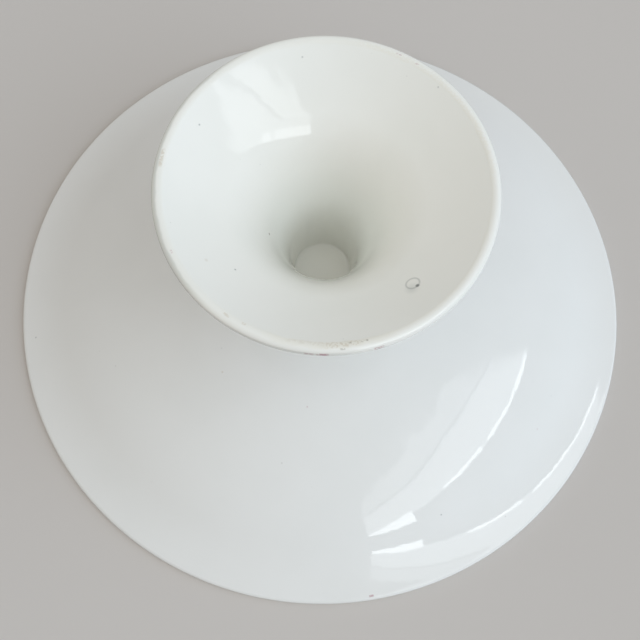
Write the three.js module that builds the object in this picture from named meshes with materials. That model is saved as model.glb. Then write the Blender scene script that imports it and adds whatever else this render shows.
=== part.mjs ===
// A white glazed compote dish: a shallow bowl on a hollow trumpet foot, stuck together with slip.
// It lies upside down on its rim, so the foot points up (+Z) and the bowl opens downwards.
// The origin is the centre of the rim's resting face. Sizes are in millimetres, and every
// "reach" is measured out from the axis.
import * as THREE from "three";

// The bowl's outside is three arcs, each running on from the last: a wide dome, a tighter
// shoulder and a hollow flare that turns the rim out.
const rimReach = 120;
const flareWidth = 19;
const shoulderWidth = 16;
const domeRadius = 225;
const shoulderRadius = 115;
const flareRadius = 70;
const crownWall = 6; // under the crown of the dome, before the seat is turned flat
const rimWall = 3.2;
const rimFlat = 1.2; // width of the band that the rim rests on

// The foot's hollow is a nearly upright bore, a steep throat and a wide cone out to the ring, with
// a soft bend at each change. Slopes are in degrees from level, and each bend has a length along
// the part before it and one along the part after it.
const footLength = 71;
const boreReach = 10.4;
const boreSlope = 83;
const boreLength = 23.2;
const boreBend = 8; // the same along the bore and along the throat
const throatSlope = 69;
const throatBend = 18;
const coneBend = 10;
const coneSlope = 33.3;
const neckWall = 5.2;
const ringReach = 55;
const ringWall = 4.4;
const ringEdge = 1.7; // rounded edge outside the band that the foot stands on
const ringDrop = 2; // the widest circle lies this far under the ring's top
const contactWidth = 1.2;

// The slip is squeezed thin under the foot and left as a hollow fillet round the neck, on a
// flat seat that is turned on the crown of the bowl.
const slipThickness = 0.8;
const filletSpread = 6.3;
const filletHeight = 6;
const filletEdge = 0.5;
const seatMargin = 2;
const clearance = 0.3; // between the fillet and the neck

const roundFacets = 64; // about the axis, and the rest are along each stretch of a profile
const domeFacets = 8;
const shoulderFacets = 4;
const flareFacets = 5;
const lipFacets = 7;
const hollowFacets = 22;
const ringFacets = 4;
const filletFacets = 6;

const glazeWhite = { color: 0xe6e9e3, roughness: 0.12, metalness: 0 };
const slipWhite = { color: 0xd2d2c6, roughness: 0.35, metalness: 0 };

const quarter = Math.PI / 2;
const boreTurn = THREE.MathUtils.degToRad(boreSlope);
const throatTurn = THREE.MathUtils.degToRad(throatSlope);
const coneTurn = THREE.MathUtils.degToRad(coneSlope);
const neckReach = boreReach + neckWall / Math.sin(boreTurn);
const filletReach = neckReach + filletSpread;
const seatReach = filletReach + seatMargin;

const point = (reach, height) => new THREE.Vector2(reach, height);
const heading = (turn) => point(Math.cos(turn), Math.sin(turn));

// One piece turned about the axis, from a profile that closes on itself or on the axis.
function turned(name, profile, finish) {
  if (THREE.ShapeUtils.isClockWise(profile)) profile.reverse();
  const geometry = new THREE.LatheGeometry(profile, roundFacets).rotateX(quarter);
  const mesh = new THREE.Mesh(geometry, new THREE.MeshStandardMaterial(finish));
  mesh.name = name;
  return mesh;
}

// An arc about a centre in the profile's plane, clockwise from one turn to another.
function arc(centre, width, height, from, to, count) {
  const curve = new THREE.EllipseCurve(centre.x, centre.y, width, height, from, to, true);
  return curve.getPoints(count);
}

// An arc that runs on from a start with a given sine of slope, out to a given reach. A positive
// radius bends it down like a dome, and a negative one turns it up like a flare.
function runOn(start, sine, radius, reach, count) {
  const cosine = (s) => Math.sqrt(1 - s * s);
  const points = [];
  for (let i = 1; i <= count; i++) {
    const out = ((reach - start.x) * i) / count;
    const fall = radius * (cosine(sine) - cosine(sine + out / radius));
    points.push(point(start.x + out, start.y - fall));
  }
  return { points, end: points[count - 1], sine: sine + (reach - start.x) / radius };
}

// A curve moved square to itself, by a wall that goes evenly from its first point to its last.
function wallUnder(curve, firstWall, lastWall) {
  const last = curve.length - 1;
  return curve.map((here, i) => {
    const along = curve[Math.min(i + 1, last)].clone().sub(curve[Math.max(i - 1, 0)]).normalize();
    const wall = THREE.MathUtils.lerp(firstWall, lastWall, i / last);
    return point(here.x + along.y * wall, here.y - along.x * wall);
  });
}

// The bowl, drawn with the crown of its dome at height 0 and then lifted so that the rim rests
// at height 0. The lip is a half round as thick as the rim's wall, cut flat underneath.
function bowlProfile() {
  const lip = rimWall / 2;
  const lipReach = rimReach - lip;
  const shoulderReach = rimReach - flareWidth;
  const dome = runOn(point(0, 0), 0, domeRadius, shoulderReach - shoulderWidth, domeFacets);
  const shoulder = runOn(dome.end, dome.sine, shoulderRadius, shoulderReach, shoulderFacets);
  const rimSine = (flareRadius * shoulder.sine - (lipReach - shoulderReach)) / (flareRadius + lip);
  const flareReach = lipReach + lip * rimSine;
  const flare = runOn(shoulder.end, shoulder.sine, -flareRadius, flareReach, flareFacets);
  const outside = [point(0, 0), ...dome.points, ...shoulder.points, ...flare.points];
  const inside = wallUnder(outside, crownWall, rimWall);
  inside[0].x = 0;

  const rimTurn = Math.asin(rimSine);
  const flatTurn = Math.asin(rimFlat / 2 / lip);
  const lipCentre = point(lipReach, flare.end.y - lip * Math.cos(rimTurn));
  const floor = lipCentre.y - lip * Math.cos(flatTurn);
  const crownCut = domeRadius - Math.sqrt(domeRadius ** 2 - seatReach ** 2);
  const profile = [
    point(0, -crownCut),
    point(seatReach, -crownCut),
    ...outside.filter((p) => p.x > seatReach),
    ...arc(lipCentre, lip, lip, quarter - rimTurn, flatTurn - quarter, lipFacets).slice(1),
    point(lipReach - rimFlat / 2, floor),
    ...inside.filter((p) => p.y > floor).reverse(),
  ];
  return { profile: profile.map((p) => point(p.x, p.y - floor)), seatHeight: -crownCut - floor };
}

// The foot: up the hollow, over the ring and back down the outside. Its lower end is cut
// square, to sit on the slip.
function footProfile(footHeight) {
  const bore = point(boreReach, footHeight);
  const ring = point(ringReach - ringEdge - contactWidth, footHeight + footLength);
  const up = heading(boreTurn);
  const lean = heading(throatTurn);
  const out = heading(coneTurn);
  const step = (from, along, distance) => along.clone().multiplyScalar(distance).add(from);
  const throat = step(bore, up, boreLength / up.y);
  const gap = ring.clone().sub(throat);
  const corner = step(throat, lean, gap.cross(out) / lean.cross(out));
  const path = new THREE.Path([bore, step(throat, up, -boreBend)]);
  const bend = (turn, end) => path.quadraticCurveTo(turn.x, turn.y, end.x, end.y);
  bend(throat, step(throat, lean, boreBend));
  path.lineTo(...step(corner, lean, -throatBend));
  bend(corner, step(corner, out, coneBend));
  path.lineTo(...ring);
  const hollow = path.getSpacedPoints(hollowFacets);
  const outside = wallUnder(hollow, neckWall, ringWall).filter((p) => p.y > footHeight);
  outside.unshift(point(neckReach, footHeight));

  const underRing = outside[outside.length - 1];
  const widest = ring.y - ringDrop;
  const upper = point(ringReach - ringEdge, widest);
  const lower = point(underRing.x, widest);
  const profile = [
    ...hollow,
    ...arc(upper, ringEdge, ringDrop, quarter, 0, ringFacets),
    ...arc(lower, ringReach - lower.x, widest - underRing.y, 0, -quarter, ringFacets).slice(1, -1),
    ...outside.toReversed(),
    bore,
  ];
  return { profile, outside };
}

// The slip: a thin washer between the seat and the foot's end, and the fillet, whose crest
// leans on the neck.
function slipProfile(seatHeight, neck) {
  const washerTop = seatHeight + slipThickness;
  const filletTop = seatHeight + filletHeight;
  const above = neck.findIndex((p) => p.y > filletTop);
  const rise = (filletTop - neck[above - 1].y) / (neck[above].y - neck[above - 1].y);
  const crest = neck[above - 1].clone().lerp(neck[above], rise).add(point(clearance, 0));
  const edge = point(filletReach, seatHeight + filletEdge);
  const centre = point(edge.x, crest.y);
  const spread = centre.x - crest.x;
  const hollow = arc(centre, spread, centre.y - edge.y, -quarter, -Math.PI, filletFacets);
  const bore = point(boreReach, seatHeight);
  return [
    bore,
    point(filletReach, seatHeight),
    ...hollow,
    point(neckReach + clearance, washerTop),
    point(boreReach, washerTop),
    bore,
  ];
}

const compote = new THREE.Group();
const bowl = bowlProfile();
const foot = footProfile(bowl.seatHeight + slipThickness);
compote.add(turned("bowl", bowl.profile, glazeWhite));
compote.add(turned("foot", foot.profile, glazeWhite));
compote.add(turned("luting_slip", slipProfile(bowl.seatHeight, foot.outside), slipWhite));

export default compote;
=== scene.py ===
import math

import bpy
from mathutils import Matrix, Vector


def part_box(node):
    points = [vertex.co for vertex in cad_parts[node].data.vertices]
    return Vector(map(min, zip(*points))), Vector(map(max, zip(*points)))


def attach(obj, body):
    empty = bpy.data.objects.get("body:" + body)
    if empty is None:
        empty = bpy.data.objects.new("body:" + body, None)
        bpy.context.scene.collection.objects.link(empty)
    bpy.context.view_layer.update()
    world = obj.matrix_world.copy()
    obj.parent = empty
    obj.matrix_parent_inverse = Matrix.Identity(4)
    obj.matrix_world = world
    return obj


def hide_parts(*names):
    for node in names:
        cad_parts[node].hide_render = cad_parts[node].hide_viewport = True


# A white glazed compote dish, lying upside down on its rim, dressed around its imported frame.
# Sizes are in metres. "Reach" is the distance out from the dish's axis, and a turn of 0 points
# to the right of the picture, with 90 degrees away from the camera.

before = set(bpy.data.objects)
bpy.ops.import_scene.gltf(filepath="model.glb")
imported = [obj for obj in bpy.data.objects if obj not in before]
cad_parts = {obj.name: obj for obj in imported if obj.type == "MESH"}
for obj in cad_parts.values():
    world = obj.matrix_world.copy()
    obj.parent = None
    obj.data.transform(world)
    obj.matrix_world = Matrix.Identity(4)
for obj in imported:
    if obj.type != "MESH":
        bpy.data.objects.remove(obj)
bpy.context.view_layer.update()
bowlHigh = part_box("bowl")[1]
footLow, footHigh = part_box("foot")
print("frame loaded")


# Small helpers for node trees

def addNode(tree, kind, sockets=None, **settings):
    node = tree.nodes.new(kind)
    for name, value in settings.items():
        setattr(node, name, value)
    for key, value in (sockets or {}).items():
        if isinstance(value, bpy.types.NodeSocket):
            tree.links.new(value, node.inputs[key])
        else:
            node.inputs[key].default_value = value
    return node


def calc(tree, operation, first, second=0.0, third=0.0):
    values = {0: first, 1: second, 2: third}
    return addNode(tree, "ShaderNodeMath", values, operation=operation).outputs[0]


def times(tree, first, second):
    return calc(tree, "MULTIPLY", first, second)


def calcWhole(tree, operation, first, second):
    return addNode(tree, "FunctionNodeIntegerMath", {0: first, 1: second}, operation=operation).outputs[0]


def measure(tree, operation, first, second=(0, 0, 0)):
    # one number from vectors: a length, a distance or a dot product
    return addNode(tree, "ShaderNodeVectorMath", {0: first, 1: second}, operation=operation).outputs["Value"]


def partsOf(tree, vector):
    return addNode(tree, "ShaderNodeSeparateXYZ", {0: vector}).outputs


def reachOf(tree, parts):
    flat = addNode(tree, "ShaderNodeCombineXYZ", {0: parts[0], 1: parts[1]}).outputs[0]
    return measure(tree, "LENGTH", flat)


def between(tree, value, low, high, fromLow=0.0, fromHigh=1.0):
    # a smooth step from low to high, while the value goes from fromLow to fromHigh
    sockets = {"Value": value, "From Min": fromLow, "From Max": fromHigh, "To Min": low, "To Max": high}
    return addNode(tree, "ShaderNodeMapRange", sockets, interpolation_type="SMOOTHSTEP").outputs[0]


def noise(tree, place, scale, detail):
    sockets = {"Vector": place, "Scale": scale, "Detail": detail}
    return addNode(tree, "ShaderNodeTexNoise", sockets).outputs[0]


def swing(tree, value, size):
    # a noise made to swing about 0 instead of 0.5, and scaled
    return times(tree, calc(tree, "SUBTRACT", value, 0.5), size)


def mixColour(tree, factor, first, second):
    mix = addNode(tree, "ShaderNodeMix", {0: factor, 6: first, 7: second}, data_type="RGBA")
    return mix.outputs[2]


def newGroup(name, kind, inputs, outputs):
    tree = bpy.data.node_groups.new(name, kind)
    for label, socketType, value in inputs:
        socket = tree.interface.new_socket(label, in_out="INPUT", socket_type=socketType)
        if value is not None:
            socket.default_value = value
    for label, socketType in outputs:
        tree.interface.new_socket(label, in_out="OUTPUT", socket_type=socketType)
    return tree, tree.nodes.new("NodeGroupInput").outputs, tree.nodes.new("NodeGroupOutput").inputs


def useGroup(tree, group, **sockets):
    return addNode(tree, "ShaderNodeGroup", sockets, node_tree=group).outputs


# The wheel: one Geometry Nodes tree turns every piece from its profile

def makeWheel():
    tree, given, result = newGroup("wheel", "GeometryNodeTree", [
        ("Profile", "NodeSocketGeometry", None),
        ("Steps", "NodeSocketInt", 256),
        ("Seam", "NodeSocketFloat", 1e-6),
        ("Sharp Angle", "NodeSocketFloat", 0.7),
        ("Ripple Height", "NodeSocketFloat", 0.00004),
        ("Ripple Size", "NodeSocketFloat", 0.02),
        ("Rest Height", "NodeSocketFloat", 0.0),
        ("Rest Margin", "NodeSocketFloat", 0.004),
        ("Seed", "NodeSocketInt", 1),
        ("Glaze", "NodeSocketMaterial", None),
    ], [("Piece", "NodeSocketGeometry")])
    tree.is_modifier = True

    # a sheet with a row for each point of the profile and a column for each step round the axis
    rows = addNode(tree, "GeometryNodeAttributeDomainSize", {0: given["Profile"]}, component="CURVE")
    columns = calcWhole(tree, "ADD", given["Steps"], 1)
    sheet = addNode(tree, "GeometryNodeMeshGrid", {"Vertices X": rows.outputs[0], "Vertices Y": columns})
    index = addNode(tree, "GeometryNodeInputIndex").outputs[0]
    row = calcWhole(tree, "DIVIDE_FLOOR", index, columns)
    column = calcWhole(tree, "MODULO", index, columns)

    # rolled up round the axis
    place = addNode(tree, "GeometryNodeInputPosition").outputs[0]
    drawn = addNode(tree, "GeometryNodeSampleIndex", {0: given["Profile"], "Value": place, "Index": row},
                    data_type="FLOAT_VECTOR", domain="POINT").outputs[0]
    drawn = partsOf(tree, drawn)
    turn = times(tree, calc(tree, "DIVIDE", column, given["Steps"]), math.tau)
    rolled = addNode(tree, "ShaderNodeCombineXYZ", {
        0: times(tree, drawn[0], calc(tree, "COSINE", turn)),
        1: times(tree, drawn[0], calc(tree, "SINE", turn)),
        2: drawn[2],
    }).outputs[0]
    piece = addNode(tree, "GeometryNodeSetPosition", {0: sheet.outputs[0], "Position": rolled}).outputs[0]
    piece = addNode(tree, "GeometryNodeMergeByDistance", {0: piece, "Distance": given["Seam"]}).outputs[0]

    # a faint ripple from the jigger and the glaze, none near Rest Height, where the piece stands or joins
    waves = addNode(tree, "ShaderNodeTexNoise", {
        "Vector": place, "W": given["Seed"], "Scale": calc(tree, "DIVIDE", 1.0, given["Ripple Size"]),
        "Detail": 1.0,
    }, noise_dimensions="4D").outputs[0]
    away = calc(tree, "ABSOLUTE", calc(tree, "SUBTRACT", partsOf(tree, place)[2], given["Rest Height"]))
    free = between(tree, away, 0.0, 1.0, 0.0, given["Rest Margin"])
    wave = times(tree, swing(tree, waves, given["Ripple Height"]), free)
    normal = addNode(tree, "GeometryNodeInputNormal").outputs[0]
    offset = addNode(tree, "ShaderNodeVectorMath", {0: normal, "Scale": wave}, operation="SCALE").outputs[0]
    piece = addNode(tree, "GeometryNodeSetPosition", {0: piece, "Offset": offset}).outputs[0]

    # smooth all over, but for sharp corners
    piece = addNode(tree, "GeometryNodeSetShadeSmooth", {0: piece}).outputs[0]
    bend = addNode(tree, "GeometryNodeInputMeshEdgeAngle").outputs[0]
    corner = calc(tree, "GREATER_THAN", bend, given["Sharp Angle"])
    sharp = {0: piece, "Selection": corner, "Shade Smooth": False}
    piece = addNode(tree, "GeometryNodeSetShadeSmooth", sharp, domain="EDGE").outputs[0]
    piece = addNode(tree, "GeometryNodeRealizeInstances", {0: piece}).outputs[0]
    piece = addNode(tree, "GeometryNodeSetMaterial", {0: piece, "Material": given["Glaze"]}).outputs[0]
    tree.links.new(piece, result["Piece"])
    return tree


def turnPiece(name, profile, material, settings):
    # a plain mesh from the wheel, whose inputs are set by the names in settings
    curve = bpy.data.curves.new(name + "_profile", "CURVE")
    curve.dimensions = "3D"
    spline = curve.splines.new("POLY")
    spline.points.add(len(profile) - 1)
    for point, (reach, height) in zip(spline.points, profile):
        point.co = (reach, 0, height, 1)
    drawing = bpy.data.objects.new(name + "_profile", curve)
    bpy.context.scene.collection.objects.link(drawing)
    modifier = drawing.modifiers.new("wheel", "NODES")
    modifier.node_group = wheel
    inputs = {**settings, "Glaze": material}
    for item in wheel.interface.items_tree:
        if item.in_out == "INPUT" and item.name in inputs:
            modifier[item.identifier] = inputs[item.name]
    evaluated = drawing.evaluated_get(bpy.context.evaluated_depsgraph_get())
    mesh = bpy.data.meshes.new_from_object(evaluated)
    drawing.modifiers.remove(modifier)
    bpy.data.objects.remove(drawing)
    piece = bpy.data.objects.new(name, mesh)
    bpy.context.scene.collection.objects.link(piece)
    print(name, "turned:", len(mesh.vertices), "points")
    return piece


# Helpers for profiles, which are lists of (reach, height)

def runOn(start, sine, radius, reach, count):
    # an arc that runs on from start with a given sine of slope; a negative radius turns it up
    points = []
    for i in range(1, count + 1):
        out = (reach - start.x) * i / count
        fall = radius * (math.sqrt(1 - sine ** 2) - math.sqrt(1 - (sine + out / radius) ** 2))
        points.append(Vector((start.x + out, start.y - fall)))
    return points, sine + (reach - start.x) / radius


def arc(centre, width, height, first, last, count):
    turns = [first + (last - first) * i / count for i in range(count + 1)]
    return [Vector((centre.x + width * math.cos(t), centre.y + height * math.sin(t))) for t in turns]


def bezier(a, b, c, d, count):
    points = []
    for i in range(count + 1):
        t = i / count
        points.append(a * (1 - t) ** 3 + b * 3 * t * (1 - t) ** 2 + c * 3 * t * t * (1 - t) + d * t ** 3)
    return points


def rounded(corner, back, ahead, count):
    # a corner rounded from a step back before it to a step ahead
    return bezier(corner - back, corner - back / 3, corner + ahead / 3, corner + ahead, count)


def crossing(first, along, second, across):
    # where a line from first meets a line from second
    gap = second - first
    return first + along * (gap.x * across.y - gap.y * across.x) / (along.x * across.y - along.y * across.x)


def wallUnder(curve, firstWall, lastWall):
    # a curve moved square to itself by a wall that changes evenly along it
    moved = []
    last = len(curve) - 1
    for i, here in enumerate(curve):
        along = (curve[min(i + 1, last)] - curve[max(i - 1, 0)]).normalized()
        wall = firstWall + (lastWall - firstWall) * i / last
        moved.append(Vector((here.x + along.y * wall, here.y - along.x * wall)))
    return moved


def heading(turn):
    return Vector((math.cos(turn), math.sin(turn)))


# The glaze that the pieces share, and the marks on it

coatLook = {
    "driftDetail": 3.0,
    "poolShare": 0.55,
    "poolFrom": 0.42,
    "poolTo": 0.72,
    "peelDetail": 1.5,
    "holeSpacing": 0.006,
    "holeSize": 0.00028,
    "holeTone": (0.36, 0.34, 0.31, 1),
    "holeShade": 0.35,
    "holeRoughness": 0.3,
    "holeDepth": 6.0,
    "leastRoughness": 0.02,
    "mostRoughness": 0.045,
    "roughFrom": 0.3,
    "roughTo": 0.7,
    "refraction": 1.52,
    "bumpStrength": 0.02,
    "bumpDistance": 0.001,
}

stainAndShadeTones = {
    "cream": (0.84, 0.80, 0.70, 1),
    "tan": (0.55, 0.44, 0.30, 1),
    "brown": (0.20, 0.13, 0.08, 1),
    "red": (0.45, 0.18, 0.22, 1),
    "grey": (0.17, 0.175, 0.16, 1),
    # a tone for painted shade and painted shadow
    "shade": (0.50, 0.51, 0.47, 1),
}


def makeDots():
    # tiny dots, for pinholes: a few cells of a 3-D pattern hold one each. Smallest and Solid are
    # shares of a dot: the least size that it is given, and the part inside its fading edge.
    tree, given, result = newGroup("scattered dots", "ShaderNodeTree", [
        ("Place", "NodeSocketVector", None),
        ("Spacing", "NodeSocketFloat", 0.010),
        ("Dot", "NodeSocketFloat", 0.0003),
        ("Smallest", "NodeSocketFloat", 0.4),
        ("Solid", "NodeSocketFloat", 0.5),
        ("Share", "NodeSocketFloat", 0.5),
    ], [("Mask", "NodeSocketFloat")])
    cells = addNode(tree, "ShaderNodeTexVoronoi", {
        "Vector": given["Place"], "Scale": calc(tree, "DIVIDE", 1.0, given["Spacing"]), "Randomness": 1.0,
    }, voronoi_dimensions="3D").outputs
    away = times(tree, cells["Distance"], given["Spacing"])
    chance = addNode(tree, "ShaderNodeSeparateColor", {0: cells["Color"]}).outputs
    size = times(tree, given["Dot"], calc(tree, "ADD", given["Smallest"], chance[1]))
    dot = between(tree, away, 1.0, 0.0, times(tree, size, given["Solid"]), size)
    here = calc(tree, "LESS_THAN", chance[0], given["Share"])
    tree.links.new(times(tree, dot, here), result["Mask"])
    return tree


def makeSpot():
    # one round mark at a chosen place: a dot, or a ring where Hollow is above 0
    tree, given, result = newGroup("spot", "ShaderNodeTree", [
        ("Place", "NodeSocketVector", None),
        ("Centre", "NodeSocketVector", None),
        ("Radius", "NodeSocketFloat", 0.001),
        ("Hollow", "NodeSocketFloat", 0.0),
        ("Blur", "NodeSocketFloat", 0.0003),
    ], [("Mask", "NodeSocketFloat")])
    away = measure(tree, "DISTANCE", given["Place"], given["Centre"])
    edges = []
    for radius in (given["Radius"], given["Hollow"]):
        inner = calc(tree, "SUBTRACT", radius, given["Blur"])
        outer = calc(tree, "ADD", radius, given["Blur"])
        edges.append((inner, outer))
    disc = between(tree, away, 1.0, 0.0, *edges[0])
    hole = between(tree, away, 0.0, 1.0, *edges[1])
    tree.links.new(times(tree, disc, hole), result["Mask"])
    return tree


def makeRingStainAndShade():
    # a broken streak along a circle round the axis, spread to both sides of a middle turn. Core and
    # Body are the shares of its width and of its spread that have its full strength.
    tree, given, result = newGroup("ring stain and shade", "ShaderNodeTree", [
        ("Place", "NodeSocketVector", None),
        ("Middle", "NodeSocketFloat", 0.0),
        ("Spread", "NodeSocketFloat", 0.1),
        ("Body", "NodeSocketFloat", 0.6),
        ("Reach", "NodeSocketFloat", 0.0527),
        ("Width", "NodeSocketFloat", 0.0006),
        ("Core", "NodeSocketFloat", 0.4),
        ("Waver Scale", "NodeSocketFloat", 160.0),
        ("Broken", "NodeSocketFloat", 0.5),
        ("Softness", "NodeSocketFloat", 0.06),
        ("Grain", "NodeSocketFloat", 0.0007),
    ], [("Mask", "NodeSocketFloat")])
    parts = partsOf(tree, given["Place"])
    waver = noise(tree, given["Place"], given["Waver Scale"], detail=2.0)
    off = calc(tree, "SUBTRACT", reachOf(tree, parts), given["Reach"])
    off = calc(tree, "ABSOLUTE", calc(tree, "ADD", off, swing(tree, waver, given["Width"])))
    near = between(tree, off, 1.0, 0.0, times(tree, given["Width"], given["Core"]), given["Width"])
    turn = calc(tree, "ARCTAN2", parts[1], parts[0])
    side = calc(tree, "WRAP", calc(tree, "SUBTRACT", turn, given["Middle"]), math.pi, -math.pi)
    side = calc(tree, "ABSOLUTE", side)
    along = between(tree, side, 1.0, 0.0, times(tree, given["Spread"], given["Body"]), given["Spread"])
    grains = noise(tree, given["Place"], calc(tree, "DIVIDE", 1.0, given["Grain"]), detail=3.0)
    least = calc(tree, "SUBTRACT", given["Broken"], given["Softness"])
    most = calc(tree, "ADD", given["Broken"], given["Softness"])
    whole = between(tree, grains, 0.0, 1.0, least, most)
    tree.links.new(times(tree, times(tree, near, along), whole), result["Mask"])
    return tree


def makeGlazeCoat(look):
    # the glaze's own tone and skin: slow drifts of tone, thin pooling, a soft orange peel and pinholes
    tree, given, result = newGroup("glaze coat", "ShaderNodeTree", [
        ("Place", "NodeSocketVector", None),
        ("White", "NodeSocketColor", (0.885, 0.862, 0.80, 1)),
        ("Pooled", "NodeSocketColor", (0.855, 0.837, 0.772, 1)),
        ("Drift", "NodeSocketFloat", 0.030),
        ("Peel", "NodeSocketFloat", 0.004),
        ("Pinholes", "NodeSocketFloat", 0.3),
    ], [("Colour", "NodeSocketColor"), ("Roughness", "NodeSocketFloat"), ("Height", "NodeSocketFloat")])
    slow = noise(tree, given["Place"], calc(tree, "DIVIDE", 1.0, given["Drift"]), look["driftDetail"])
    fine = noise(tree, given["Place"], calc(tree, "DIVIDE", 1.0, given["Peel"]), look["peelDetail"])
    holes = useGroup(tree, dots, Place=given["Place"], Spacing=look["holeSpacing"], Dot=look["holeSize"],
                     Share=given["Pinholes"])["Mask"]
    pooled = between(tree, slow, 0.0, look["poolShare"], look["poolFrom"], look["poolTo"])
    tone = mixColour(tree, pooled, given["White"], given["Pooled"])
    tone = mixColour(tree, times(tree, holes, look["holeShade"]), tone, look["holeTone"])
    sheen = between(tree, slow, look["leastRoughness"], look["mostRoughness"],
                    look["roughFrom"], look["roughTo"])
    sheen = calc(tree, "ADD", sheen, times(tree, holes, look["holeRoughness"]))
    height = calc(tree, "SUBTRACT", fine, times(tree, holes, look["holeDepth"]))
    tree.links.new(tone, result["Colour"])
    tree.links.new(sheen, result["Roughness"])
    tree.links.new(height, result["Height"])
    return tree


def newMaterial(name):
    material = bpy.data.materials.new(name)
    material.use_nodes = True
    return material, material.node_tree.nodes["Principled BSDF"]


def newGlaze(name, coatSettings):
    # a material with the shared coat; its colour is still to be linked, once it has its marks
    material, shader = newMaterial(name)
    tree = material.node_tree
    place = addNode(tree, "ShaderNodeTexCoord").outputs["Object"]
    coat = useGroup(tree, glazeCoat, Place=place, **coatSettings)
    bump = addNode(tree, "ShaderNodeBump", {
        "Height": coat["Height"], "Strength": coatLook["bumpStrength"], "Distance": coatLook["bumpDistance"],
    })
    shader.inputs["IOR"].default_value = coatLook["refraction"]
    tree.links.new(coat["Roughness"], shader.inputs["Roughness"])
    tree.links.new(bump.outputs[0], shader.inputs["Normal"])
    return material, shader, place, coat["Colour"]


def addStainsAndShade(tree, place, colour, stains):
    for tone, middle, spread, reach, width, broken, strength in stains:
        mask = useGroup(tree, ringStainAndShade, Place=place, Middle=math.radians(middle),
                        Spread=math.radians(spread), Reach=reach, Width=width, Broken=broken)["Mask"]
        colour = mixColour(tree, times(tree, mask, strength), colour, stainAndShadeTones[tone])
    return colour


def addSpots(tree, place, colour, spots):
    for tone, centre, radius, hollow, blur, strength in spots:
        mask = useGroup(tree, spotMark, Place=place, Centre=centre, Radius=radius, Hollow=hollow,
                        Blur=blur)["Mask"]
        colour = mixColour(tree, times(tree, mask, strength), colour, stainAndShadeTones[tone])
    return colour


# The bowl: a wide dome, a tighter shoulder and a flare that turns the rim out

bowlValues = {
    "flareWidth": 0.019,
    "shoulderWidth": 0.016,
    "domeRadius": 0.225,
    "shoulderRadius": 0.115,
    "flareRadius": 0.070,
    "crownWall": 0.006,
    "rimWall": 0.0032,
    "rimFlat": 0.0012,
    "seatReach": 0.024,
    "domeSteps": 48,
    "shoulderSteps": 12,
    "flareSteps": 16,
    "lipSteps": 14,
    "wheel": {"Ripple Height": 0.00008, "Seed": 3},
    # painted shade: the bowl's white is set darker than the foot's, so that the bowl reads as in shade
    "coat": {"White": (0.84, 0.828, 0.795, 1), "Pooled": (0.815, 0.805, 0.77, 1)},
    "seatTone": (0.86, 0.855, 0.795, 1),
    "seatToneEnds": 0.0004,  # depths below the seat
    "seatToneFull": 0.0001,
}

# each stain: tone, middle and spread in degrees round the axis, reach, width, how broken, strength
bowlStains = [
    ("red", -78.2, 0.5, 0.1186, 0.0005, 0.30, 0.6),
]

# each spot: tone, place, radius, radius of its hollow, blur, strength
noHollow = -0.01  # under 0 by more than the blur, so that the spot is solid
bowlSpots = [
    ("grey", (0.0486, -0.0863, 0.0118), 0.0003, noHollow, 0.0002, 0.45),
    ("grey", (-0.1121, -0.0236, 0.0043), 0.0003, noHollow, 0.0002, 0.4),
    ("red", (-0.0030, -0.0523, 0.0292), 0.0003, noHollow, 0.0002, 0.3),
    ("tan", (-0.0350, -0.0407, 0.0289), 0.0003, noHollow, 0.0002, 0.4),
    ("red", (0.0849, -0.0519, 0.0115), 0.0003, noHollow, 0.0002, 0.2),
]


def bowlProfile(shape):
    # drawn with the crown of the dome at height 0, then lifted so that the rim rests at height 0
    domeRadius = shape["domeRadius"]
    flareRadius = shape["flareRadius"]
    seatReach = shape["seatReach"]
    lip = shape["rimWall"] / 2
    lipReach = bowlHigh.x - lip
    shoulderReach = bowlHigh.x - shape["flareWidth"]
    domeReach = shoulderReach - shape["shoulderWidth"]
    dome, sine = runOn(Vector((0, 0)), 0, domeRadius, domeReach, shape["domeSteps"])
    shoulder, sine = runOn(dome[-1], sine, shape["shoulderRadius"], shoulderReach, shape["shoulderSteps"])
    rimSine = (flareRadius * sine - (lipReach - shoulderReach)) / (flareRadius + lip)
    rimTurn = math.asin(rimSine)
    flare = runOn(shoulder[-1], sine, -flareRadius, lipReach + lip * rimSine, shape["flareSteps"])[0]
    outside = [Vector((0, 0)), *dome, *shoulder, *flare]
    inside = wallUnder(outside, shape["crownWall"], shape["rimWall"])
    inside[0].x = 0
    flatTurn = math.asin(shape["rimFlat"] / 2 / lip)
    lipCentre = Vector((lipReach, flare[-1].y - lip * math.cos(rimTurn)))
    floorHeight = lipCentre.y - lip * math.cos(flatTurn)
    seat = math.sqrt(domeRadius ** 2 - seatReach ** 2) - domeRadius
    profile = [
        Vector((0, seat)),
        Vector((seatReach, seat)),
        *[p for p in outside if p.x > seatReach],
        *arc(lipCentre, lip, lip, math.pi / 2 - rimTurn, flatTurn - math.pi / 2, shape["lipSteps"])[1:],
        Vector((lipReach - shape["rimFlat"] / 2, floorHeight)),
        *[p for p in inside if p.y > floorHeight][::-1],
    ]
    return [Vector((p.x, p.y - floorHeight)) for p in profile]


def bowlGlaze(finish):
    material, shader, place, colour = newGlaze("bowl_glaze", finish["coat"])
    tree = material.node_tree
    ends = bowlHigh.z - finish["seatToneEnds"]
    full = bowlHigh.z - finish["seatToneFull"]
    onSeat = between(tree, partsOf(tree, place)[2], 0.0, 1.0, ends, full)
    colour = mixColour(tree, onSeat, colour, finish["seatTone"])
    colour = addStainsAndShade(tree, place, colour, bowlStains)
    colour = addSpots(tree, place, colour, bowlSpots)
    tree.links.new(colour, shader.inputs["Base Color"])
    return material


# The foot: its hollow is a straight bore, a steep throat and a wide cone, and its outside is the
# same curve moved out by the wall

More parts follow.
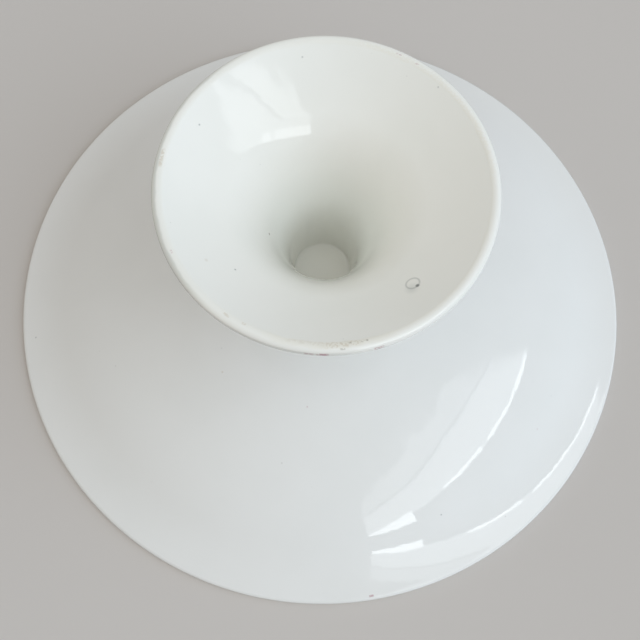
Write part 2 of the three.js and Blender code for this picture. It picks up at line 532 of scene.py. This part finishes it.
footValues = {
    "boreReach": 0.0104,
    "boreSlope": math.radians(83),
    "throatHeight": 0.0232,
    "throatSlope": math.radians(69),
    "throatBend": 0.008,
    "flareBend": 0.018,
    "ringBend": 0.010,
    "ringSlope": math.radians(33.3),
    "neckWall": 0.0052,
    "ringWall": 0.0044,
    "ringEdge": 0.0019,
    "ringDrop": 0.0020,
    "contactWidth": 0.0010,
    "hollowSteps": 30,
    "ringSteps": 10,
    "wheel": {"Ripple Height": 0.00006, "Rest Height": footHigh.z, "Rest Margin": 0.003, "Seed": 8},
    # the coat's own white, set brighter than the bowl's: painted light, a lit copy of the same glaze for the
    # foot
    "coat": {},  # the shared coat as it is
    "deepTone": (0.87, 0.87, 0.815, 1),
    "deepToneFull": 0.060,  # heights over the floor
    "deepToneEnds": 0.088,
}

# stains on the foot's ring; the last two bands are painted shade
footStainsAndShade = [
    ("cream", 0, 360, 0.0521, 0.0010, 0.05, 0.22),
    ("cream", -86, 26, 0.0525, 0.0016, 0.30, 0.5),
    ("cream", 45, 45, 0.0525, 0.0013, 0.48, 0.5),
    ("tan", -93.5, 9, 0.0521, 0.0008, 0.50, 0.14),
    ("tan", -83.0, 9, 0.0524, 0.0014, 0.20, 0.10),
    ("tan", -82.0, 7, 0.0524, 0.0014, 0.56, 0.35),
    ("brown", -79.8, 0.6, 0.0521, 0.0003, 0.36, 0.35),
    ("brown", -74.9, 1.4, 0.0522, 0.0004, 0.48, 0.5),
    ("brown", -82.3, 1.0, 0.0538, 0.0004, 0.46, 0.35),
    ("red", -92.9, 1.9, 0.05495, 0.00016, 0.42, 0.4),
    ("red", -88.7, 2.3, 0.05495, 0.00020, 0.46, 0.7),
    ("red", -70.8, 2.0, 0.0549, 0.00018, 0.44, 0.45),
    ("red", 66.2, 1.2, 0.0529, 0.0003, 0.42, 0.45),
    ("red", 58.8, 1.0, 0.0526, 0.0004, 0.46, 0.3),
    ("tan", 173, 4, 0.0528, 0.0008, 0.41, 0.4),
    ("red", -151.4, 0.9, 0.0527, 0.0005, 0.44, 0.35),
    ("tan", -122.1, 1.4, 0.0526, 0.0006, 0.44, 0.35),
    ("tan", -115.6, 0.9, 0.0522, 0.0005, 0.44, 0.3),
    # painted shade: the outer roll of the ring darkened on its left side, where little light falls
    ("shade", 178, 56, 0.0545, 0.0014, 0.05, 0.42),
    # painted shade: a thin dark line where the ring's edge turns under, along its front-left side
    ("grey", -132, 62, 0.05496, 0.00022, 0.05, 0.18),
]


def footHollow(shape, count):
    bore = Vector((shape["boreReach"], footLow.z))
    ring = Vector((footHigh.x - shape["ringEdge"] - shape["contactWidth"], footHigh.z))
    up, lean, out = (heading(shape[key]) for key in ("boreSlope", "throatSlope", "ringSlope"))
    throat = bore + up * shape["throatHeight"] / up.y
    corner = crossing(throat, lean, ring, out)
    turns = [*rounded(throat, up * shape["throatBend"], lean * shape["throatBend"], count),
             *rounded(corner, lean * shape["flareBend"], out * shape["ringBend"], count)]
    straight = [bore.lerp(turns[0], i / count) for i in range(count)]
    cone = [turns[-1].lerp(ring, i / count) for i in range(1, count + 1)]
    return [*straight, *turns, *cone]


def footOutside(shape, hollow):
    outside = [p for p in wallUnder(hollow, shape["neckWall"], shape["ringWall"]) if p.y > footLow.z]
    neck = Vector((shape["boreReach"] + shape["neckWall"] / math.sin(shape["boreSlope"]), footLow.z))
    return [neck, *outside]


def footProfile(shape):
    # up the hollow, round the ring and back down the outside
    hollow = footHollow(shape, shape["hollowSteps"])
    outside = footOutside(shape, hollow)
    under = outside[-1]
    edge = shape["ringEdge"]
    widest = footHigh.z - shape["ringDrop"]
    steps = shape["ringSteps"]
    upper = arc(Vector((footHigh.x - edge, widest)), edge, shape["ringDrop"], math.pi / 2, 0, steps)
    lower = arc(Vector((under.x, widest)), footHigh.x - under.x, widest - under.y, 0, -math.pi / 2, steps)
    return [*hollow, *upper, *lower[1:-1], *outside[::-1], hollow[0]]


def hollowPlace(turn, reach, fineness=200):
    # a place on the foot's hollow, at a turn in degrees and a reach
    points = footHollow(footValues, fineness)
    height = min(points, key=lambda p: abs(p.x - reach)).y
    return Vector((*heading(math.radians(turn)) * reach, height))


footSpots = [
    # painted shadow: a soft shade falling beside the ring mark on the next lines
    ("shade", hollowPlace(-47.5, 0.0413), 0.0016, noHollow, 0.0014, 0.35),
    ("grey", hollowPlace(-45.2, 0.0400), 0.0024, 0.0020, 0.00035, 0.45),
    ("grey", hollowPlace(-44.9, 0.0417), 0.0006, noHollow, 0.0003, 0.9),
    ("brown", hollowPlace(-169.1, 0.0191), 0.0004, noHollow, 0.0002, 0.7),
    ("grey", hollowPlace(-136.0, 0.0379), 0.0003, noHollow, 0.0002, 0.55),
    ("grey", hollowPlace(153.8, 0.0468), 0.0003, noHollow, 0.0002, 0.5),
    ("grey", hollowPlace(102.3, 0.0482), 0.0003, noHollow, 0.0002, 0.35),
    ("tan", hollowPlace(-145.0, 0.0440), 0.0005, noHollow, 0.0004, 0.22),
    ("grey", hollowPlace(47.4, 0.0508), 0.0003, noHollow, 0.0002, 0.3),
]


def footGlaze(finish):
    material, shader, place, colour = newGlaze("foot_glaze", finish["coat"])
    tree = material.node_tree
    deep = between(tree, partsOf(tree, place)[2], 1.0, 0.0, finish["deepToneFull"], finish["deepToneEnds"])
    colour = mixColour(tree, deep, colour, finish["deepTone"])
    colour = addStainsAndShade(tree, place, colour, footStainsAndShade)
    colour = addSpots(tree, place, colour, footSpots)
    tree.links.new(colour, shader.inputs["Base Color"])
    return material


# The slip: a fillet round the neck, whose skirt runs out over the crown, and a lap in the bore

slipValues = {
    "crestHeight": 0.0062,
    "crestPull": 0.0040,
    "skirtWidth": 0.0100,
    "skirtPull": 0.0060,
    "filletSteps": 20,
    "skin": 0.00006,  # how far the slip reaches into the neck
    "lapSink": 0.0003,  # how far the lap starts inside the foot's wall
    "lapWidth": 0.0012,
    "lapHeight": 0.0020,
    "lapPull": 0.7,
    "lapSteps": 8,
    "wheel": {"Steps": 192, "Ripple Height": 0.00012, "Ripple Size": 0.009, "Rest Height": footLow.z,
              "Rest Margin": 0.001, "Seed": 5},
    "coat": {"White": (0.85, 0.84, 0.80, 1), "Drift": 0.012},
    "boreTone": (0.86, 0.855, 0.795, 1),
    "boreToneFull": 0.0112,  # reaches, a little past the bore
    "boreToneEnds": 0.0116,
}


def slipProfile(shape):
    # from the seat's edge out to the skirt's edge on the dome, and back up the fillet to the neck
    seat = bowlHigh.z
    radius = bowlValues["domeRadius"]
    start = Vector((bowlValues["seatReach"], seat))
    domeCentre = seat - math.sqrt(radius ** 2 - start.x ** 2)
    neck = footOutside(footValues, footHollow(footValues, footValues["hollowSteps"]))
    above = next(i for i, p in enumerate(neck) if p.y > seat + shape["crestHeight"])
    crest = neck[above] - Vector((shape["skin"], 0))
    lean = (neck[above + 1] - neck[above]).normalized()
    skirtReach = neck[0].x + shape["skirtWidth"]
    sine = skirtReach / radius
    cosine = math.sqrt(1 - sine ** 2)
    skirt = Vector((skirtReach, domeCentre + radius * cosine))
    skirtHandle = skirt - Vector((cosine, -sine)) * shape["skirtPull"]
    fillet = bezier(skirt, skirtHandle, crest - lean * shape["crestPull"], crest, shape["filletSteps"])
    neckIn = Vector((neck[0].x - shape["skin"], footLow.z))

    # along the foot's end, and down the lap of glaze that hides the joint in the bore
    boreReach = footValues["boreReach"]
    lapTop = Vector((boreReach + shape["lapSink"], seat + shape["lapHeight"]))
    lapFoot = Vector((boreReach - shape["lapWidth"], seat))
    lapCorner = Vector((lapTop.x, seat))
    handles = (end.lerp(lapCorner, shape["lapPull"]) for end in (lapTop, lapFoot))
    lap = bezier(lapTop, *handles, lapFoot, shape["lapSteps"])
    return [start, *fillet, neckIn, Vector((lapTop.x, footLow.z)), *lap, start]


def slipGlaze(finish):
    material, shader, place, colour = newGlaze("slip_glaze", finish["coat"])
    tree = material.node_tree
    reach = reachOf(tree, partsOf(tree, place))
    inBore = between(tree, reach, 1.0, 0.0, finish["boreToneFull"], finish["boreToneEnds"])
    colour = mixColour(tree, inBore, colour, finish["boreTone"])
    tree.links.new(colour, shader.inputs["Base Color"])
    return material


# Stage: a pale floor, a soft room, the window that shows in the glaze, and a soft fill on the foot

stageLook = {
    "floorSize": 12.0,
    "floorColour": (0.62, 0.575, 0.535, 1),
    "floorRoughness": 0.85,
    "roomLevel": 0.22,
    "roomColour": (1.0, 0.975, 0.945, 1),
    "backdrop": (0.80, 0.79, 0.78, 1),
}

# soft lights in the room: turn and height in degrees, cosine at the edge of the glow, level, colour
softLights = [
    (-50, 60, 0.60, 0.67, (0.98, 1.0, 0.96, 1)),
    (-16, 20, 0.45, 1.66, (0.67, 0.82, 1.0, 1)),
    (180, 58, 0.60, 0.46, (1.0, 0.97, 0.93, 1)),
]

# the window as the bowl's glaze shows it; places on it are shares of its distance: "side" from its
# middle line towards the back of the picture, "up" from the floor. Levels are its radiance.
windowLook = {
    "turn": math.radians(-30.5),
    "away": 0.7,
    "halfWidth": 0.88,
    "low": 0.72,
    "high": 1.86,
    "colour": (0.92, 0.97, 1.0),
    "sill": 0.82,  # its height at the middle line, from where it tilts and bows
    "sillTilt": 0.0,
    "sillBow": 0.13,
    "sillLine": 0.040,  # how high the bright line stands on the sill
    "sillLevel": 5.6,
    "blockEnd": -0.50,  # the line's near part ends here, over a wedge that is deepest here
    "blockDrop": 0.10,
    "lineStart": -0.24,  # and its far part starts here
    "gap": 0.10,
    "gapWidth": 0.030,
    "paneLevel": 1.8,
    "rail": 1.25,
    "railWidth": 0.018,
    "railDarkness": 0.9,
    "railBlur": 0.01,
    "upperLevel": 1.05,
    "top": 1.62,
    "topBlur": 0.02,
    "curtain": 0.81,  # its edge at the height of the sill; it fades from inside to outside of it
    "curtainLean": 0.43,
    "curtainInside": 0.12,
    "curtainOutside": 0.06,
    "folds": 0.6,  # how ragged the curtain is, with a share of it to the side
    "foldsAside": 0.6,
    "foldScale": 9.0,
    "foldDetail": 4.0,
}

# the window as the foot's hollow shows it, which bends what it mirrors much more than the bowl does
hollowWindow = {
    **windowLook,
    "low": 0.45,
    "high": 2.0,
    "sill": 0.60,
    "sillTilt": 0.45,
    "sillBow": 0.50,
    "sillLine": 0.36,
    "sillLevel": 3.2,
    "blockEnd": 0.12,
    "blockDrop": 0.0,
    "lineStart": 0.88,  # at its edge, so that there is no far part
    "gap": -0.06,
    "gapWidth": 0.035,
    "paneLevel": 1.55,
    "rail": 1.36,
    "upperLevel": 1.75,
    "top": 1.80,
    "curtain": 1.66,
    "curtainLean": 1.9,
    "folds": 1.1,
}

# a soft light on the foot from the left, for the side of its hollow that the window doesn't reach
fillLook = {
    "turn": math.radians(150),
    "height": math.radians(42),
    "away": 1.2,
    "size": 0.8,
    "energy": 1.8,
    "colour": (0.80, 0.92, 0.95),
}


def towards(turn, height):
    return Vector((math.cos(turn) * math.cos(height), math.sin(turn) * math.cos(height), math.sin(height)))


def makeFloor(look):
    half = look["floorSize"] / 2
    mesh = bpy.data.meshes.new("floor")
    corners = [(-half, -half, 0), (half, -half, 0), (half, half, 0), (-half, half, 0)]
    mesh.from_pydata(corners, [], [(0, 1, 2, 3)])
    floor = bpy.data.objects.new("floor", mesh)
    bpy.context.scene.collection.objects.link(floor)
    material, shader = newMaterial("pale_floor")
    shader.inputs["Base Color"].default_value = look["floorColour"]
    shader.inputs["Roughness"].default_value = look["floorRoughness"]
    mesh.materials.append(material)


def hangLamp(lamp, place, back, pieces):
    # a lamp that the camera doesn't see, and that reaches only these pieces
    hung = bpy.data.objects.new(lamp.name, lamp)
    hung.location = place
    hung.rotation_euler = back.to_track_quat("Z", "Y").to_euler()
    hung.visible_camera = False
    bpy.context.scene.collection.objects.link(hung)
    reached = bpy.data.collections.new(lamp.name + "_reaches")
    for piece in pieces:
        reached.objects.link(piece)
    hung.light_linking.receiver_collection = reached
    return hung


def makeFill(look, pieces):
    lamp = bpy.data.lights.new("fill", "AREA")
    lamp.shape = "DISK"
    lamp.size = look["size"]
    lamp.energy = look["energy"]
    lamp.color = look["colour"]
    back = towards(look["turn"], look["height"])
    fill = hangLamp(lamp, back * look["away"], back, pieces)
    fill.visible_glossy = False


def windowPanes(tree, look, up):
    # one level under the rail, another over it, and the darker rail between
    level = between(tree, up, look["paneLevel"], look["upperLevel"],
                    look["rail"], look["rail"] + look["railBlur"])
    rail = calc(tree, "COMPARE", up, look["rail"], look["railWidth"])
    return times(tree, level, calc(tree, "SUBTRACT", 1.0, times(tree, rail, look["railDarkness"])))


def windowSill(tree, look, side, up):
    # the sill's height, how far a wedge drops under it at one end, and where a bright line lies on it,
    # with a gap in it
    bend = times(tree, side, calc(tree, "MULTIPLY_ADD", side, look["sillBow"], look["sillTilt"]))
    sill = calc(tree, "ADD", bend, look["sill"])
    inBlock = calc(tree, "LESS_THAN", side, look["blockEnd"])
    fall = look["blockDrop"] / (look["blockEnd"] + look["halfWidth"])
    drop = times(tree, inBlock, times(tree, calc(tree, "ADD", side, look["halfWidth"]), fall))
    inLine = calc(tree, "ADD", inBlock, calc(tree, "GREATER_THAN", side, look["lineStart"]))
    gap = calc(tree, "COMPARE", side, look["gap"], look["gapWidth"])
    lined = times(tree, inLine, calc(tree, "SUBTRACT", 1.0, gap))
    lineTop = calc(tree, "MULTIPLY_ADD", lined, look["sillLine"], sill)
    return sill, drop, calc(tree, "LESS_THAN", up, lineTop)


def windowCurtain(tree, look, side, up, place):
    # the share left by a ragged curtain above and at the far side
    folds = noise(tree, place, look["foldScale"], look["foldDetail"])
    ragged = swing(tree, folds, look["folds"])
    height = calc(tree, "ADD", up, ragged)
    below = between(tree, height, 1.0, 0.0, look["top"] - look["topBlur"], look["top"] + look["topBlur"])
    lean = times(tree, calc(tree, "SUBTRACT", up, look["sill"]), look["curtainLean"])
    aside = calc(tree, "ADD", calc(tree, "ADD", side, lean), times(tree, ragged, look["foldsAside"]))
    before = between(tree, aside, 1.0, 0.0, look["curtain"] - look["curtainInside"],
                     look["curtain"] + look["curtainOutside"])
    return times(tree, below, before)


def makeWindow(name, look, pieces):
    # a lamp that shows only in the glaze, as the window's mirror image
    lamp = bpy.data.lights.new(name, "AREA")
    lamp.shape = "RECTANGLE"
    lamp.size = 2 * look["halfWidth"] * look["away"]
    lamp.size_y = (look["high"] - look["low"]) * look["away"]
    lamp.energy = math.pi * lamp.size * lamp.size_y
    lamp.color = look["colour"]
    lamp.use_nodes = True
    tree = lamp.node_tree
    tree.nodes.clear()
    place = addNode(tree, "ShaderNodeNewGeometry").outputs["Position"]
    side = measure(tree, "DOT_PRODUCT", place, towards(look["turn"] + math.pi / 2, 0) / look["away"])
    up = measure(tree, "DOT_PRODUCT", place, (0, 0, 1 / look["away"]))
    sill, drop, onLine = windowSill(tree, look, side, up)
    panes = windowPanes(tree, look, up)
    level = addNode(tree, "ShaderNodeMix", {0: onLine, 2: panes, 3: look["sillLevel"]}).outputs[0]
    level = times(tree, level, calc(tree, "GREATER_THAN", up, calc(tree, "SUBTRACT", sill, drop)))
    level = times(tree, level, windowCurtain(tree, look, side, up, place))
    glow = addNode(tree, "ShaderNodeEmission", {"Strength": level})
    tree.links.new(glow.outputs[0], addNode(tree, "ShaderNodeOutputLight").inputs[0])
    out = towards(look["turn"], 0)
    middle = Vector((0, 0, (look["low"] + look["high"]) / 2))
    window = hangLamp(lamp, (out + middle) * look["away"], out, pieces)
    window.visible_diffuse = False


def makeRoom(look, lights):
    # diffuse light comes from the room, and what is seen or mirrored is the plain backdrop
    world = bpy.data.worlds.new("room")
    world.use_nodes = True
    tree = world.node_tree
    tree.nodes.clear()
    direction = addNode(tree, "ShaderNodeTexCoord").outputs["Generated"]
    room = addNode(tree, "ShaderNodeBackground",
                   {"Color": look["roomColour"], "Strength": look["roomLevel"]}).outputs[0]
    for turn, height, edge, level, colour in lights:
        facing = measure(tree, "DOT_PRODUCT", direction, towards(math.radians(turn), math.radians(height)))
        strength = between(tree, facing, 0.0, level, edge, 1.0)
        glow = addNode(tree, "ShaderNodeBackground", {"Color": colour, "Strength": strength}).outputs[0]
        room = addNode(tree, "ShaderNodeAddShader", {0: room, 1: glow}).outputs[0]
    backdrop = addNode(tree, "ShaderNodeBackground", {"Color": look["backdrop"], "Strength": 1.0})
    rays = addNode(tree, "ShaderNodeLightPath").outputs
    seen = calc(tree, "MAXIMUM", rays["Is Camera Ray"], rays["Is Glossy Ray"])
    seen = calc(tree, "MAXIMUM", seen, rays["Is Transmission Ray"])
    mix = addNode(tree, "ShaderNodeMixShader", {0: seen, 1: room, 2: backdrop.outputs[0]})
    tree.links.new(mix.outputs[0], addNode(tree, "ShaderNodeOutputWorld").inputs[0])
    bpy.context.scene.world = world


# Camera, at the photograph's viewing angle

cameraView = {
    "focalPixels": 1050,  # the lens's focal length in pixels of the picture
    "framePixels": 640,
    "back": 0.1455,
    "height": 0.4025,
    "pitch": 1.2431,
    "roll": 0.0518,
    "sensor": 36,
    "nearest": 0.01,
    "farthest": 50,
}


def makeCamera(view):
    data = bpy.data.cameras.new("camera")
    data.sensor_width = view["sensor"]
    data.lens = view["focalPixels"] / view["framePixels"] * view["sensor"]
    data.clip_start = view["nearest"]
    data.clip_end = view["farthest"]
    camera = bpy.data.objects.new("camera", data)
    turn = Matrix.Rotation(math.pi / 2 - view["pitch"], 4, "X") @ Matrix.Rotation(view["roll"], 4, "Z")
    camera.matrix_world = Matrix.Translation((0, -view["back"], view["height"])) @ turn
    bpy.context.scene.collection.objects.link(camera)
    bpy.context.scene.camera = camera


makeCamera(cameraView)
print("camera placed")

dots = makeDots()
spotMark = makeSpot()
ringStainAndShade = makeRingStainAndShade()
glazeCoat = makeGlazeCoat(coatLook)
wheel = makeWheel()

bowl = turnPiece("glazed_bowl", bowlProfile(bowlValues), bowlGlaze(bowlValues), bowlValues["wheel"])
foot = turnPiece("glazed_foot", footProfile(footValues), footGlaze(footValues), footValues["wheel"])
slip = turnPiece("glazed_slip", slipProfile(slipValues), slipGlaze(slipValues), slipValues["wheel"])
for piece, node, slot in ((bowl, "bowl", "glaze"), (foot, "foot", "glaze"), (slip, "luting_slip", "slip")):
    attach(piece, "root")
    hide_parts(node)
print("pieces in place")

makeFloor(stageLook)
makeWindow("window", windowLook, (bowl, slip))
makeWindow("window_in_hollow", hollowWindow, (foot,))
makeFill(fillLook, (foot,))
makeRoom(stageLook, softLights)
bpy.context.scene.view_settings.view_transform = "Standard"
print("stage lit")
